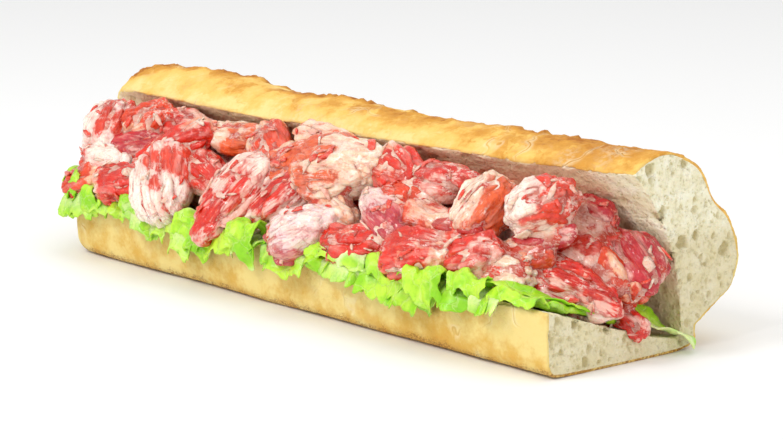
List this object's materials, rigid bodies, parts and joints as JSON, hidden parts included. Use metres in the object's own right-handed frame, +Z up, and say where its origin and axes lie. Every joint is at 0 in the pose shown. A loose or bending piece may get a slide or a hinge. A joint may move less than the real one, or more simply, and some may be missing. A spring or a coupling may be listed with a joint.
{
  "type": "lobster sandwich",
  "caption": "Half a baguette slit along its front and opened like a mouth, filled with lettuce and dressed lobster pieces that lean out over the lower crust.",
  "frame": {"origin": "middle of the bounding box's base, on the surface that the sandwich rests on", "axes": "+X along the loaf from the baked heel towards the cut end, +Y from the open front towards the uncut hinge, +Z up"},
  "size_m": [0.3152, 0.1086, 0.0753],
  "materials": {
    "crust": "baked crust and open crumb, matt",
    "lobster": "moist cooked lobster in a thin cream dressing",
    "lettuce": "fresh leaf, satin"
  },
  "bodies": {
    "root": {"baguette": "crust", "lettuce_bed": "lettuce", "lettuce_leaf_01": "lettuce", "lettuce_leaf_02": "lettuce", "lettuce_leaf_03": "lettuce", "lettuce_leaf_04": "lettuce", "lettuce_leaf_05": "lettuce", "lettuce_leaf_06": "lettuce", "lettuce_leaf_07": "lettuce", "lettuce_leaf_08": "lettuce", "lettuce_leaf_09": "lettuce", "lettuce_leaf_10": "lettuce", "lettuce_leaf_11": "lettuce", "lettuce_leaf_12": "lettuce", "lettuce_leaf_13": "lettuce", "lettuce_strip_01": "lettuce", "lettuce_strip_02": "lettuce", "lobster_claw_01": "lobster", "lobster_claw_02": "lobster", "lobster_claw_03": "lobster", "lobster_claw_04": "lobster", "lobster_claw_05": "lobster", "lobster_claw_06": "lobster", "lobster_claw_07": "lobster", "lobster_claw_08": "lobster", "lobster_claw_09": "lobster", "lobster_claw_10": "lobster", "lobster_claw_11": "lobster", "lobster_claw_12": "lobster", "lobster_claw_13": "lobster", "lobster_claw_14": "lobster", "lobster_flake_01": "lobster", "lobster_flake_02": "lobster", "lobster_flake_03": "lobster", "lobster_flake_04": "lobster", "lobster_flake_05": "lobster", "lobster_flake_06": "lobster", "lobster_flake_07": "lobster", "lobster_knuckle_01": "lobster", "lobster_knuckle_02": "lobster", "lobster_knuckle_03": "lobster", "lobster_knuckle_04": "lobster", "lobster_knuckle_05": "lobster", "lobster_knuckle_06": "lobster", "lobster_knuckle_07": "lobster", "lobster_knuckle_08": "lobster", "lobster_knuckle_09": "lobster", "lobster_knuckle_10": "lobster", "lobster_knuckle_11": "lobster", "lobster_knuckle_12": "lobster", "lobster_knuckle_13": "lobster", "lobster_knuckle_14": "lobster", "lobster_knuckle_15": "lobster", "lobster_knuckle_16": "lobster", "lobster_knuckle_17": "lobster", "lobster_knuckle_18": "lobster", "lobster_salad": "lobster", "lobster_tail_01": "lobster", "lobster_tail_02": "lobster"}
  },
  "joints": []
}
